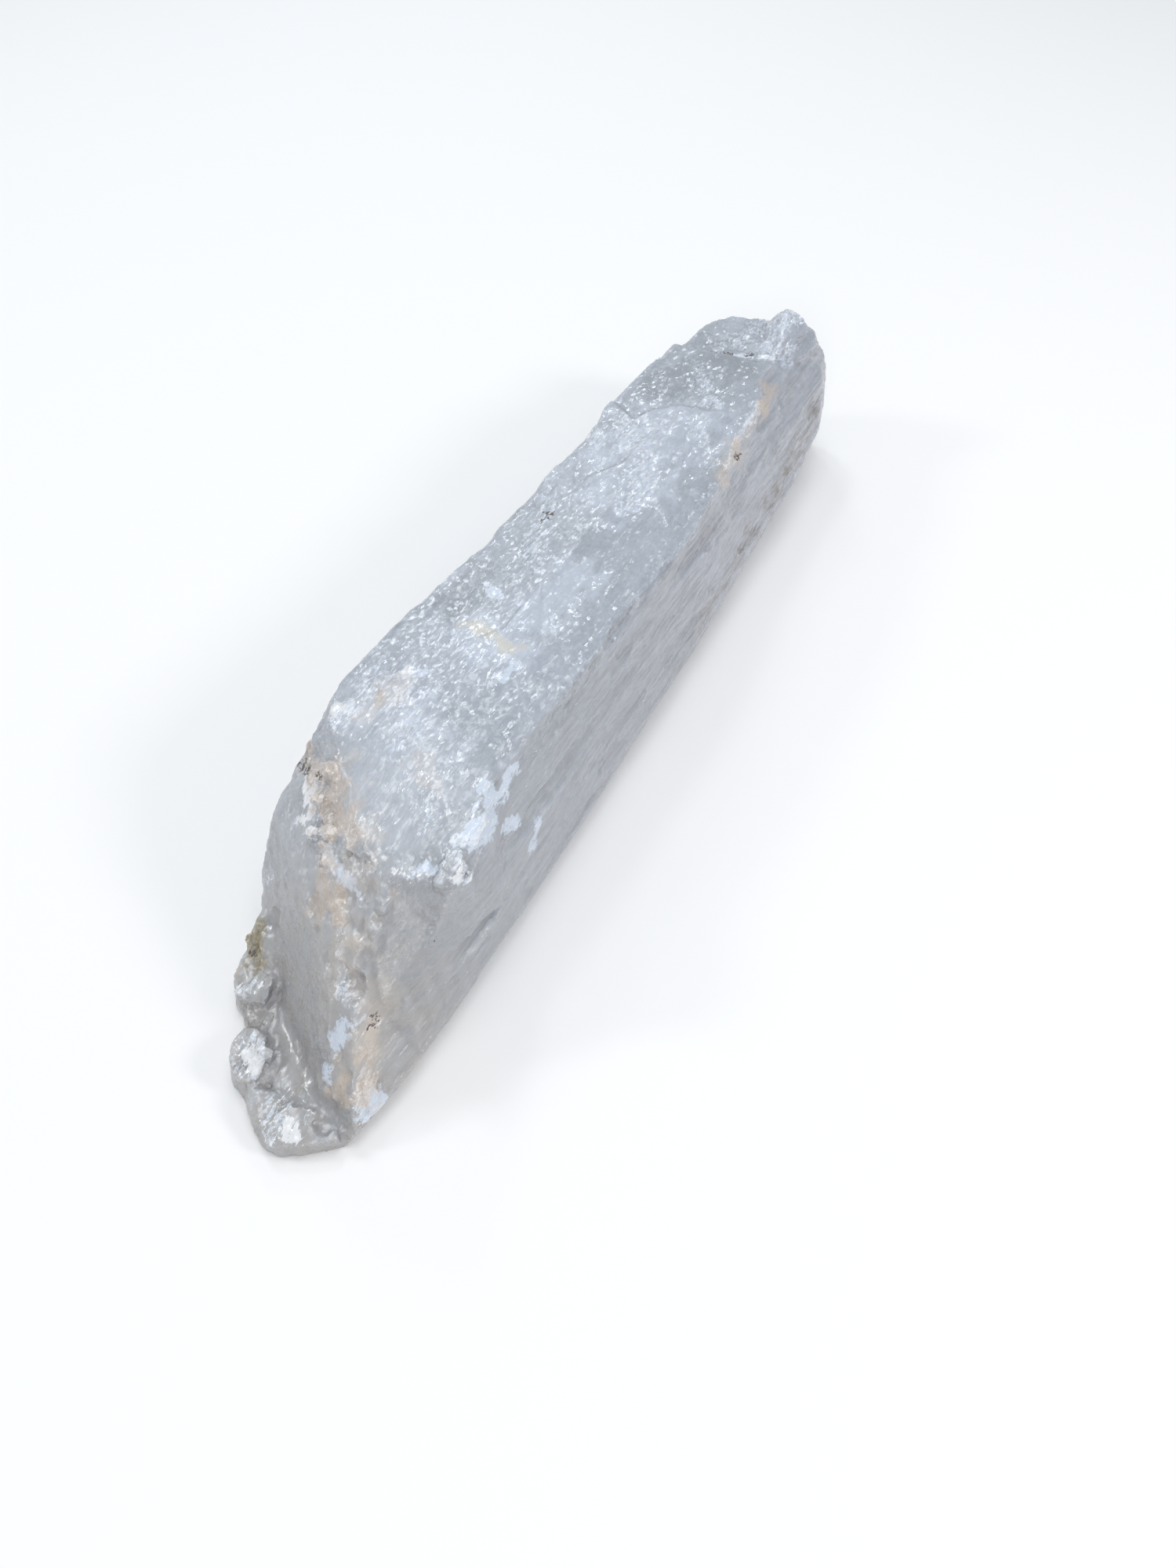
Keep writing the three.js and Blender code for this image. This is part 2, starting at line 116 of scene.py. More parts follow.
# Flakes that flash like little mirrors; the flash is a painted reflection, white in the base colour.
PAINTED_FLASH_FLAKES = [
    ((-71.4, 17.4, 30.6), (-76.0, 13.0, 29.8), 1.8),
    ((-78.3, 13.6, 27.6), (-78.0, 15.2, 27.4), 0.9),
    ((-125.0, -12.6, 5.0), (-123.4, -12.2, 5.0), 1.5),
    ((-116.4, 3.0, 6.0), (-117.4, 0.4, 5.8), 1.4),
    ((-80.0, -23.0, 35.0), (-78.0, -22.0, 35.8), 1.0),
]
# The one cream-coloured inclusion, in the middle of the top.
CREAM_SPOTS = [
    ((-27.4, -3.4, 38.6), (-26.4, 1.0, 38.8), 2.0),
    ((-26.4, 1.0, 38.8), (-25.4, 6.4, 38.5), 2.2),
]
# The faintest iron colour, spread thin.
TAN_WASHES = [
    ((-70.0, 14.0, 33.5), (-79.0, 2.0, 33.8), 5.5),
    ((-84.0, -2.0, 31.0), (-97.0, -9.0, 22.0), 4.0),
    ((-100.0, -16.0, 18.0), (-112.0, -19.0, 10.0), 4.0),
    ((-62.0, -4.0, 37.6), (-66.0, -8.0, 37.4), 2.6),
    ((-46.0, 12.0, 38.1), (-56.0, 12.0, 38.0), 3.0),
    ((60.0, -14.8, 34.6), (84.0, -13.0, 34.4), 1.6),
]
# Stronger iron, in dark threads on a tan wash.
RUST_STAINS = [
    ((-67.5, 20.5, 32.0), (-70.0, 12.0, 34.4), 2.6),
    ((-74.0, 13.6, 31.4), (-77.5, 8.0, 31.8), 2.2),
    ((-72.0, 10.0, 34.2), (-80.5, 3.4, 33.4), 3.0),
    ((-84.6, 4.8, 29.6), (-91.4, 2.2, 24.0), 2.4),
    ((-88.0, -2.0, 28.4), (-92.0, -4.0, 25.4), 1.8),
    ((-104.0, -18.4, 15.0), (-109.0, -18.6, 12.6), 1.3),
    ((-109.0, -18.6, 12.6), (-114.0, -18.4, 9.0), 2.2),
    ((-84.0, -9.0, 31.5), (-86.0, -13.0, 30.5), 1.6),
    ((-93.0, -8.0, 25.4), (-97.0, -10.5, 22.0), 1.5),
    ((-115.4, -16.8, 8.4), (-112.6, -21.0, 8.2), 2.2),
    ((63.5, -14.9, 35.0), (49.0, -16.9, 36.0), 2.2),
    ((92.5, -11.4, 34.6), (84.0, -13.2, 34.4), 2.0),
    ((-98.7, 16.2, 7.4), (-99.5, 14.4, 3.4), 3.0),
    ((-50.5, 13.5, 38.0), (-53.0, 12.0, 38.0), 0.9),
]
# Dark mineral specks, each a middle and a radius.
BROWN_SPECKS = [
    ((15.4, 11.7, 38.0), 0.7), ((14.0, 11.2, 38.0), 0.5), ((12.8, 11.9, 38.0), 0.5),
    ((61.9, -15.5, 34.6), 0.7), ((60.2, -15.6, 34.9), 0.4), ((-81.0, -21.3, 28.0), 0.5),
    ((-83.9, -19.2, 27.4), 0.4), ((-84.8, -18.6, 27.0), 0.3), ((-86.9, -17.4, 25.8), 0.5),
    ((-90.2, -14.7, 24.0), 0.5), ((-92.0, -14.2, 22.8), 0.4), ((-99.1, -12.5, 20.1), 0.3),
    ((-101.6, -15.4, 17.6), 0.4), ((-102.7, -17.8, 15.9), 0.6), ((-104.0, -17.3, 15.2), 0.4),
    ((-86.8, -21.2, 24.2), 0.4), ((-68.9, 20.9, 31.0), 0.6), ((-69.8, 19.0, 31.2), 0.5),
    ((-70.6, 15.4, 32.4), 0.6), ((102.4, 4.4, 35.0), 0.8), ((102.0, 6.4, 35.0), 0.6),
    ((103.8, -1.0, 35.6), 0.8), ((100.2, 9.6, 34.8), 0.5), ((-98.9, 15.0, 5.2), 0.9),
    ((-98.2, 15.6, 7.0), 0.6),
]
# Dark brown streaks along the foot of the right side and in the nooks at the near end.
DARK_BROWN_PLACES = [
    ((25.0, -24.8, 12.5), (54.0, -23.2, 15.0), 2.2),
    ((54.0, -23.2, 15.0), (96.0, -20.9, 19.0), 2.6),
    ((96.0, -20.9, 19.0), (113.0, -18.0, 23.0), 1.8),
    ((-104.0, 13.0, 3.0), (-110.0, 8.0, 3.0), 2.2),
    ((-66.2, 21.2, 31.6), (-72.6, 17.0, 31.6), 0.9),
]
# The olive stain on the ledge.
MOSSY_PLACES = [
    ((-96.0, 17.4, 9.4), (-101.0, 12.4, 4.5), 2.3),
]
# Clean cleavage, where the eye looks into darker, clear stone.
CLEAR_FACETS = [
    ((-97.0, 4.0, 16.0), (-105.0, -4.0, 9.0), 6.0),
    ((-85.0, -22.0, 22.0), (-98.0, -16.0, 20.0), 4.0),
    ((-109.0, -14.0, 12.5), (-111.5, -13.0, 10.0), 2.4),
    ((-107.8, 5.0, 4.8), (-113.4, -1.0, 3.9), 2.6),
    ((-119.8, -4.6, 4.3), (-118.4, -8.8, 4.2), 2.2),
    ((78.0, 12.0, 37.0), (94.0, 2.0, 37.0), 7.0),
    ((-22.0, 14.0, 38.3), (-10.0, 15.0, 38.2), 4.0),
    ((-73.4, 17.2, 29.6), (-75.4, 14.6, 29.6), 2.6),
]
# Stone dense with fine white veils. The strokes on the far top, round the frosted patch, are also a
# painted sheen.
MILKY_AND_SHEEN_PLACES = [
    ((-99.8, 1.4, 14.6), (-103.5, -0.5, 11.0), 2.2),
    ((-56.0, 9.0, 38.0), (-66.0, -6.0, 36.0), 8.0),
    ((-76.0, -8.0, 33.0), (-70.0, 4.0, 35.0), 5.0),
    ((-92.0, -7.0, 26.0), (-101.0, -13.0, 19.0), 3.4),
    ((-25.0, 7.0, 38.5), (-29.0, -4.0, 38.5), 4.2),
    ((-29.0, 7.0, 38.5), (-34.0, 0.0, 38.5), 2.0),
    ((64.0, 2.0, 37.6), (34.0, 2.0, 38.0), 11.0),
    ((66.0, -4.0, 37.2), (50.0, -6.0, 37.4), 5.0),
    ((0.0, -5.0, 38.2), (-16.0, -2.0, 38.4), 5.0),
    ((90.0, 4.0, 36.9), (82.0, 6.0, 36.9), 4.0),
]
# Rims that crumbled into grains: the wedge's, the ledge's, the far step's, the right top edge.
CRUMBLED_PLACES = [
    ((-62.0, 22.0, 33.5), (-84.0, 4.0, 30.0), 3.4),
    ((-84.0, 2.0, 30.5), (-78.0, -22.5, 34.5), 2.6),
    ((-98.0, 16.0, 6.0), (-106.0, 10.0, 6.0), 4.0),
    ((-117.0, 1.6, 6.0), (-111.0, 8.0, 5.0), 3.8),
    ((-112.0, -20.0, 8.0), (-117.0, -20.0, 4.0), 3.0),
    ((104.0, 12.0, 35.0), (126.0, -8.0, 32.0), 6.0),
    ((56.0, -15.5, 35.5), (-52.0, -19.4, 35.5), 1.5),
]


def whole_number_hash(cell, seed):
    """A fixed number from 0 to 1 for each whole-number cell of space: the three numbers and the
    seed are multiplied by large odd numbers, and the bits of their sum are folded twice."""
    h = cell[..., 0] * 374761393 + cell[..., 1] * 668265263 + cell[..., 2] * 1274126177
    h = (h + seed * 974634777) & 0xFFFFFFFF
    h = ((h ^ (h >> 13)) * 1103515245) & 0xFFFFFFFF
    h = ((h ^ (h >> 15)) * 668265263) & 0xFFFFFFFF
    return (h ^ (h >> 16)) / 4294967296.0


def cloud(p, seed):
    """Smooth noise from -1 to 1: each whole-number point holds its hash, and a place between
    takes the mix of its eight neighbours, each weighted by the eased nearness 3t²-2t³."""
    cell = np.floor(p).astype(np.int64)
    t = p - cell
    t = t * t * (3 - 2 * t)
    total = np.zeros(len(p))
    for corner in np.ndindex(2, 2, 2):
        nearness = np.where(np.array(corner) == 1, t, 1 - t).prod(axis=1)
        total += nearness * whole_number_hash(cell + np.array(corner), seed)
    return 2 * total - 1


def rough_cloud(p, seed, layers):
    """Clouds on clouds: each layer is twice as fine as the last and half as strong."""
    return sum(cloud(p * 2 ** k, seed + k) / 2 ** k for k in range(layers))


def broken_grains(p, seed):
    """Grains with flat slanting tops: each cell holds one jittered seed point, a place belongs to
    the nearest one, and its height is its offset from that point times the grain's own slant.
    Returns the height, from about -1 to 1, and the grain's own number from 0 to 1."""
    cell = np.floor(p).astype(np.int64)
    nearest = np.full(len(p), 9.0)
    height = np.zeros(len(p))
    number = np.zeros(len(p))
    for step in np.ndindex(3, 3, 3):
        home = cell + np.array(step) - 1
        jitter = np.stack([whole_number_hash(home, seed + k) for k in range(3)], axis=1)
        offset = p - home - jitter
        apart = (offset ** 2).sum(axis=1)
        slant = np.stack([whole_number_hash(home, seed + 3 + k) for k in range(3)], axis=1) * 2 - 1
        own = whole_number_hash(home, seed + 6)
        nearer = apart < nearest
        nearest = np.where(nearer, apart, nearest)
        height = np.where(nearer, (offset * slant).sum(axis=1), height)
        number = np.where(nearer, own, number)
    return height, number


def strokes(p, marks, ragged):
    """How far a place lies inside any of the marks, from 0 outside to 1 well inside: 1.5 minus
    the distance to the stroke's middle line over its half-width, plus 0.9 times the ragged noise."""
    inside = np.zeros(len(p))
    for start, end, half_width in marks:
        a, b = np.array(start), np.array(end)
        along = np.clip(((p - a) @ (b - a)) / max((b - a) @ (b - a), 1e-6), 0, 1)
        away = np.linalg.norm(p - a - along[:, None] * (b - a), axis=1)
        inside = np.maximum(inside, 1.5 - away / half_width + 0.9 * ragged)
    return np.clip(inside, 0, 1)


def skin_of(node, step):
    """The crystal's skin: a copy of the solid's loose triangles, welded where their corners meet,
    then wrapped in even small squares whose corners are settled on the nearest flat face."""
    copy = bpy.data.objects.new("welded", node.data.copy())
    bpy.context.scene.collection.objects.link(copy)
    weld = copy.modifiers.new("weld", "WELD")
    weld.merge_threshold = 0.002 * MM
    wrap = copy.modifiers.new("wrap", "REMESH")
    wrap.mode = "VOXEL"
    wrap.voxel_size = step
    wrap.use_smooth_shade = True
    settle = copy.modifiers.new("settle", "SHRINKWRAP")
    settle.target = node
    settle.wrap_method = "NEAREST_SURFACEPOINT"
    graph = bpy.context.evaluated_depsgraph_get()
    skin = bpy.data.meshes.new_from_object(copy.evaluated_get(graph))
    bpy.data.objects.remove(copy)
    return skin


def smoothed_place(skin, p, rounds):
    """Each vertex smoothed: in each round it moves to the mean place of its neighbours."""
    edges = np.empty(len(skin.edges) * 2, np.int32)
    skin.edges.foreach_get("vertices", edges)
    first, second = edges.reshape(-1, 2).T
    start, end = np.concatenate([first, second]), np.concatenate([second, first])
    neighbours = np.bincount(start, minlength=len(p))
    smoothed = p
    for _ in range(rounds):
        summed = [np.bincount(start, smoothed[end, axis], len(p)) for axis in range(3)]
        smoothed = np.stack(summed, axis=1) / neighbours[:, None]
    return smoothed


def mask(inside):
    """An eased mask from 0 to 1: 3t²-2t³ of how far inside a place is."""
    return inside * inside * (3 - 2 * inside)


skin = skin_of(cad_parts["crystal"], SKIN_STEP)
skin.name = "selenite crystal"
count = len(skin.vertices)
place = np.empty(count * 3)
outward = np.empty(count * 3)
skin.vertices.foreach_get("co", place)
skin.vertices.foreach_get("normal", outward)
place = place.reshape(-1, 3) / MM
outward = outward.reshape(-1, 3)

ragged = rough_cloud(place * [0.28, 0.42, 0.42], 11, 3)
fine_ragged = rough_cloud(place * [0.8, 1.1, 1.1], 23, 2)
# Each kind of mark, with the shares of broad and of fine noise that make its edge ragged.
MARKS = [
    ("bruised", WHITE_BRUISES, 0.8, 0.5), ("frosted_glinting", FROSTED_GLINTING_PLACES, 1.0, 0.3),
    ("painted_flash", PAINTED_FLASH_FLAKES, 0.6, 0.5), ("dark_brown", DARK_BROWN_PLACES, 1.2, 0.4),
    ("mossy", MOSSY_PLACES, 0.8, 0.4), ("cream", CREAM_SPOTS, 0.9, 0.4),
    ("tanned", TAN_WASHES, 1.2, 0.3), ("rust", RUST_STAINS, 1.2, 0.5),
    ("clear", CLEAR_FACETS, 0.6, 0.0), ("crumbled", CRUMBLED_PLACES, 0.7, 0.0),
    ("milky", MILKY_AND_SHEEN_PLACES, 0.8, 0.0),
]
marked = {name: mask(strokes(place, marks, broad * ragged + fine * fine_ragged))
          for name, marks, broad, fine in MARKS}
clear, crumbled = marked["clear"], marked["crumbled"]
# A speck is whole out to nearly twice its radius and frays out at nearly four times.
specks = np.zeros(count)
for centre, radius in BROWN_SPECKS:
    away = np.linalg.norm(place - np.array(centre), axis=1)
    specks = np.maximum(specks, np.clip(1.9 - away / (2.0 * radius) + 0.9 * fine_ragged, 0, 1))

# Edges stand out of their smoothed place and are worn, and later get painted glints and white frost;
# hollows lie under it and are filled most of the way to it, and what is left of each hollow is
# darkened as painted shade. Both masks start at a least height and are full one range above it.
LEAST_EDGE, EDGE_RANGE = 0.10, 0.35
LEAST_HOLLOW, HOLLOW_RANGE = 0.08, 0.30
HOLLOW_FILLING = 0.8
smoothed = smoothed_place(skin, place, WORN_ROUNDS)
stands_out = ((place - smoothed) * outward).sum(axis=1)
edge_wear = mask(np.clip((stands_out - LEAST_EDGE) / EDGE_RANGE, 0, 1))
hollowed = mask(np.clip((-stands_out - LEAST_HOLLOW) / HOLLOW_RANGE, 0, 1))
place = place + HOLLOW_FILLING * hollowed[:, None] * (smoothed - place)

# The break at the far end has worn to shallow dents. Its face leans: its x falls as y grows.
# Where a place below the top lies more than a dent's depth under that face, the depth past a dent
# shrinks to a small share. What then still lies under its well smoothed place moves out to it, and
# all that was filled faces along x.
FAR_FACE, FAR_LEAN = 125.2, 0.08
BREAK_FROM_X, BREAK_Y, BREAK_FROM_Z = 114, (-12, 9), 4
BREAK_TOP, BREAK_FADE = 26.0, 3.0
DENT, BELOW_DENT, FILLED_RANGE = 1.2, 0.03, 0.5
SMOOTHED_FROM_X, SMOOTHED_FADE = 122.0, 1.5
SMOOTHED_TOP, SMOOTHED_TOP_FADE, SMOOTHED_RANGE = 35.0, 2.0, 0.3
depth = FAR_FACE - FAR_LEAN * place[:, 1] - place[:, 0]
inside_break = (place[:, 0] > BREAK_FROM_X) & (place[:, 2] > BREAK_FROM_Z)
inside_break &= (place[:, 1] > BREAK_Y[0]) & (place[:, 1] < BREAK_Y[1])
inside_break = inside_break * np.clip((BREAK_TOP - place[:, 2]) / BREAK_FADE, 0, 1)
place[:, 0] += inside_break * np.clip((1 - BELOW_DENT) * (depth - DENT), 0, None)
raised = inside_break * np.clip((depth - DENT) / FILLED_RANGE, 0, 1)
well_smoothed = smoothed_place(skin, place, FAR_BREAK_ROUNDS)
at_far_break = mask(np.clip((place[:, 0] - SMOOTHED_FROM_X) / SMOOTHED_FADE, 0, 1))
at_far_break *= np.clip((SMOOTHED_TOP - place[:, 2]) / SMOOTHED_TOP_FADE, 0, 1)
filled = at_far_break * np.clip((well_smoothed[:, 0] - place[:, 0]) / SMOOTHED_RANGE, 0, 1)
place = place + filled[:, None] * (well_smoothed - place)
filled = np.maximum(filled, raised)
outward = outward + filled[:, None] * (np.array([1.0, 0.0, 0.0]) - outward)
hollowed = hollowed * (1 - filled)

# The relief, in millimetres along the outward direction: fibres along the crystal on its sides,
# thin splintered steps, broken grains where it crumbled, and a fine ripple everywhere.
# How much a place is a side: 1.3 times one minus the upright part of its direction to the power
# 1.5, held at 1. A place that faces down has a quarter of the relief.
SIDE_FIBRES, SIDE_STEPS, SIDE_CHIPS = 0.10, 0.11, 0.10
TOP_FIBRES, TOP_STEPS = 0.05, 0.05
RIPPLE, CHIPS, GRAINS = 0.07, 0.05, 0.04
CRUMBLED_GRAINS, CRUMBLED_BLOCKS, BLOCK_MIDDLE = 0.42, 0.5, 0.6
CLEAR_CALM = 0.85            # how much of the relief a clean cleavage lacks
FOOT = 1.5                   # the relief fades over this height above the resting face
side = np.clip(1.3 * (1 - np.abs(outward[:, 2]) ** 1.5), 0, 1)
along_grain = np.array([1 / LENGTH_OF_GRAIN, 1.0, 1.0])
fibres = cloud(place * along_grain * 0.9, 41) + 0.6 * cloud(place * along_grain * 1.9 + 7.3, 43)
sheets = rough_cloud(place * along_grain * 0.42 + 3.1, 47, 2) * 3
steps = np.floor(sheets) + np.clip((sheets - np.floor(sheets)) * 5, 0, 1)
coarse, coarse_number = broken_grains(place * 0.30, 61)
small, _ = broken_grains(place * 0.72 * [0.6, 1, 1], 71)
ripple = rough_cloud(place * 0.22, 83, 3)
uneven = 1 - CLEAR_CALM * clear
relief = side * (SIDE_FIBRES * fibres + SIDE_STEPS * steps) * uneven
relief += (1 - side) * (TOP_STEPS * steps + TOP_FIBRES * fibres) * uneven
relief += RIPPLE * ripple + (CHIPS + SIDE_CHIPS * side) * coarse * uneven
relief += (GRAINS + CRUMBLED_GRAINS * crumbled) * small * uneven
relief += CRUMBLED_BLOCKS * crumbled * (coarse_number - BLOCK_MIDDLE)
resting = np.clip(place[:, 2] / FOOT, 0, 1)
relief *= np.where(outward[:, 2] < -0.5, 0.25 * resting, 0.3 + 0.7 * resting)
place = place + outward * relief[:, None]
# Nothing reaches more than a millimetre past the solid's own box, or below the ground.
lowest, highest = (np.array(corner) / MM for corner in CAD_BOX)
place = np.clip(place, [lowest[0] - 1, lowest[1] - 0.5, 0], highest + [1, 0.5, 0.4])

skin.vertices.foreach_set("co", (place * MM).ravel())
marked.update(specks=specks, side=side, edge_wear=edge_wear, hollowed=hollowed)
for name, values in marked.items():
    skin.attributes.new(name, "FLOAT", "POINT").data.foreach_set("value", values)
# Creases stay sharp, and crumbled stone keeps a flat face for every small square.
corners = np.empty(len(skin.polygons) * 4, np.int32)
skin.polygons.foreach_get("vertices", corners)
skin.attributes.new("sharp_face", "BOOLEAN", "FACE").data.foreach_set(
    "value", crumbled[corners.reshape(-1, 4)].mean(axis=1) > 0.35)
skin.set_sharp_from_angle(angle=math.radians(32))
skin.update()

# The colours of the stone and of what marks it, painted shade and painted glints among them, and how
# much of what lies below each one hides.
MILK = (0.590, 0.650, 0.740, 1)
CLEAR_GREY = (0.345, 0.380, 0.425, 1)
SHADED_SIDE_GREY = (0.398, 0.414, 0.440, 1)
WARM_MILK = (0.505, 0.518, 0.535, 1)
WARM_GREY = (0.430, 0.395, 0.355, 1)
SCAR_AND_SHEEN_WHITE = (0.700, 0.780, 0.900, 1)
DARK_FIBRE_AND_SHADE = (0.270, 0.268, 0.290, 1)
PALE_FIBRE = (0.525, 0.538, 0.602, 1)
DARK_BROWN = (0.200, 0.165, 0.130, 1)
OLIVE = (0.250, 0.215, 0.095, 1)
PAINTED_GLINT = (0.930, 0.950, 0.990, 1)
CREAM = (0.750, 0.715, 0.600, 1)
RUST = (0.460, 0.275, 0.160, 1)
TAN = (0.760, 0.650, 0.540, 1)
SPECK = (0.050, 0.026, 0.020, 1)
HIDES = {"side": 0.80, "clear": 0.55, "hollow": 0.35, "scar": 0.92, "glint": 0.90, "cream": 0.65,
         "tan": 0.24, "rust wash": 0.42, "rust": 0.60, "dark_streaks": 0.75, "hair": 0.40, "dust": 0.5}

finish = bpy.data.materials.new("milky selenite")
finish.use_nodes = True
nodes = finish.node_tree.nodes
links = finish.node_tree.links
surface = nodes["Principled BSDF"]
spot = nodes.new("ShaderNodeTexCoord").outputs["Object"]


def feed(socket, value):
    """Links an output to a socket, or sets the socket to a plain value."""
    if isinstance(value, bpy.types.NodeSocket):
        links.new(value, socket)
    else:
        socket.default_value = value


def mapped(size, turn=(0, 0, 0)):
    """Object coordinates in units of the given size in millimetres along x, y and z."""
    mapping = nodes.new("ShaderNodeMapping")
    feed(mapping.inputs["Vector"], spot)
    mapping.inputs["Scale"].default_value = [1 / (s * MM) for s in size]
    mapping.inputs["Rotation"].default_value = turn
    return mapping.outputs[0]


def noise(size, detail=3.0, roughness=0.5, distortion=0.0, turn=(0, 0, 0)):
    """Noise whose features have the given size in millimetres, from 0 to 1."""
    texture = nodes.new("ShaderNodeTexNoise")
    feed(texture.inputs["Vector"], mapped(size, turn))
    texture.inputs["Scale"].default_value = 1.0
    texture.inputs["Detail"].default_value = detail
    texture.inputs["Roughness"].default_value = roughness
    texture.inputs["Distortion"].default_value = distortion
    return texture.outputs["Fac"]


def sums(operation, first, second=0.0, third=0.0, clamp=False):
    """One step of arithmetic."""
    step = nodes.new("ShaderNodeMath")
    step.operation = operation
    step.use_clamp = clamp
    for socket, value in zip(step.inputs, (first, second, third)):
        feed(socket, value)
    return step.outputs[0]


def stretch(value, low, high, to_low=0.0, to_high=1.0):
    """Values from low to high become to_low to to_high, eased and held at both ends."""
    ramp = nodes.new("ShaderNodeMapRange")
    ramp.interpolation_type = "SMOOTHSTEP"
    feed(ramp.inputs["Value"], value)
    limits = {"From Min": low, "From Max": high, "To Min": to_low, "To Max": to_high}
    for label, number in limits.items():
        ramp.inputs[label].default_value = number
    return ramp.outputs[0]


def blend(share, first, second):
    """The second colour laid over the first by the given share."""
    mixed = nodes.new("ShaderNodeMix")
    mixed.data_type = "RGBA"
    feed(mixed.inputs["Factor"], share)
    feed(mixed.inputs[6], first)
    feed(mixed.inputs[7], second)
    return mixed.outputs[2]


def painted(name):
    """The mask that the mesh carries under this name."""
    attribute = nodes.new("ShaderNodeAttribute")
    attribute.attribute_name = name
    return attribute.outputs["Fac"]


def slanted_grains(size):
    """The height of grains of the given size with flat slanting tops: a place's offset from its
    grain's own point, times the grain's random colour taken as a direction."""
    where = mapped(size)
    grains = nodes.new("ShaderNodeTexVoronoi")
    feed(grains.inputs["Vector"], where)
    grains.inputs["Scale"].default_value = 1.0
    offset = nodes.new("ShaderNodeVectorMath")
    offset.operation = "SUBTRACT"
    feed(offset.inputs[0], where)
    feed(offset.inputs[1], grains.outputs["Position"])
    slant = nodes.new("ShaderNodeVectorMath")
    slant.operation = "SUBTRACT"
    feed(slant.inputs[0], grains.outputs["Color"])
    slant.inputs[1].default_value = (0.5, 0.5, 0.5)
    tilt = nodes.new("ShaderNodeVectorMath")
    tilt.operation = "DOT_PRODUCT"
    feed(tilt.inputs[0], offset.outputs[0])
    feed(tilt.inputs[1], slant.outputs[0])
    return tilt.outputs["Value"]


def bumped(height, distance, strength, under=None):
    """A bump of the given height in millimetres, on top of the one under it."""
    bump = nodes.new("ShaderNodeBump")
    bump.inputs["Distance"].default_value = distance * MM
    feed(bump.inputs["Strength"], strength)
    feed(bump.inputs["Height"], height)
    if under is not None:
        feed(bump.inputs["Normal"], under)
    return bump.outputs[0]


bruised_here = painted("bruised")
frosted_glinting_here = painted("frosted_glinting")
dark_brown_here = painted("dark_brown")
mossy_here = painted("mossy")
painted_flash_here = painted("painted_flash")
cream_here = painted("cream")
rust_here = painted("rust")
tanned_here = painted("tanned")
clear_here = painted("clear")
milky_and_sheen_here = painted("milky")
crumbled_here = painted("crumbled")
specks_here = painted("specks")
side_here = painted("side")
worn_glinting_here = painted("edge_wear")
hollow_here = painted("hollowed")

# Milk in the stone: broad clouds, thin sheets along the grain, and fine crumbs of flaws. The
# dished top is warmer and calmer towards the wedge.
broad = noise((38, 22, 22), detail=2.0)
sheet_clouds = noise((20, 6, 6), detail=3.0, roughness=0.5, distortion=0.4)
crumbs = noise((1.2, 0.8, 0.8), detail=4.0, roughness=0.75)
milkiness = sums("MULTIPLY_ADD", broad, 0.75, sums("MULTIPLY", sheet_clouds, 0.45))
milkiness = sums("MULTIPLY_ADD", crumbs, 0.7, sums("SUBTRACT", milkiness, 0.43))
milkiness = sums("MULTIPLY_ADD", clear_here, -0.35, milkiness)
# The milky places lighten the stone; on the far top this is partly a painted sheen.
milkiness = sums("MULTIPLY_ADD", milky_and_sheen_here, 0.33, milkiness)
stone = blend(stretch(milkiness, 0.10, 1.05), CLEAR_GREY, MILK)
axis = nodes.new("ShaderNodeSeparateXYZ")
feed(axis.inputs[0], spot)
near_top = stretch(axis.outputs["X"], -0.088, -0.042, 0.55, 0.0)
stone = blend(near_top, stone, WARM_MILK)

# The sides show the fibres end to end: dark gaps between pale splinters. They run out into
# smooth grey-green stone towards the near end. The sides' greys are darker than the top's milk:
# painted shade, as the sides take less light than the top.
fibres = noise((8.0, 0.62, 0.62), detail=4.0, roughness=0.62, distortion=0.25)
patches = noise((15.0, 3.0, 3.0), detail=3.0, roughness=0.55)
fibre_tone = sums("MULTIPLY_ADD", sums("SUBTRACT", fibres, 0.5), 2.2, patches)
far_half = stretch(axis.outputs["X"], -0.060, 0.040)
shaded_flank = blend(stretch(fibre_tone, 0.05, 0.95), DARK_FIBRE_AND_SHADE, PALE_FIBRE)
shaded_flank = blend(sums("MULTIPLY_ADD", far_half, 0.55, 0.40), SHADED_SIDE_GREY, shaded_flank)
# The sides take these greys, darker than the top's milk: painted shade.
stone = blend(sums("MULTIPLY", side_here, HIDES["side"]), stone, shaded_flank)
stone = blend(sums("MULTIPLY", clear_here, HIDES["clear"]), stone, CLEAR_GREY)
near_end = stretch(axis.outputs["X"], -0.100, -0.076, 1.0, 0.0)
warmth = sums("MULTIPLY", near_end, stretch(patches, 0.30, 0.65, 0.22, 0.60))
stone = blend(warmth, stone, WARM_GREY)
# What is left of each hollow is darkened with the dark fibre grey: painted shade.
stone = blend(sums("MULTIPLY", hollow_here, HIDES["hollow"]), stone, DARK_FIBRE_AND_SHADE)

# White scars: the ragged middle of a bruise is opaque, its edge breaks up into crumbs.
scuffs = noise((2.0, 1.0, 1.0), detail=6.0, roughness=0.8)
scar = sums("MULTIPLY_ADD", sums("SUBTRACT", scuffs, 0.5), 4.6, bruised_here)
scar = sums("MULTIPLY", stretch(scar, 0.30, 0.75), stretch(bruised_here, 0.02, 0.35))
# White frost flecks in the colour of the scars, thickest in the frosted places and on worn edges:
# partly real frost, partly painted glints and sheen.
flecks = noise((2.4, 0.8, 0.8), detail=5.0, roughness=0.75)
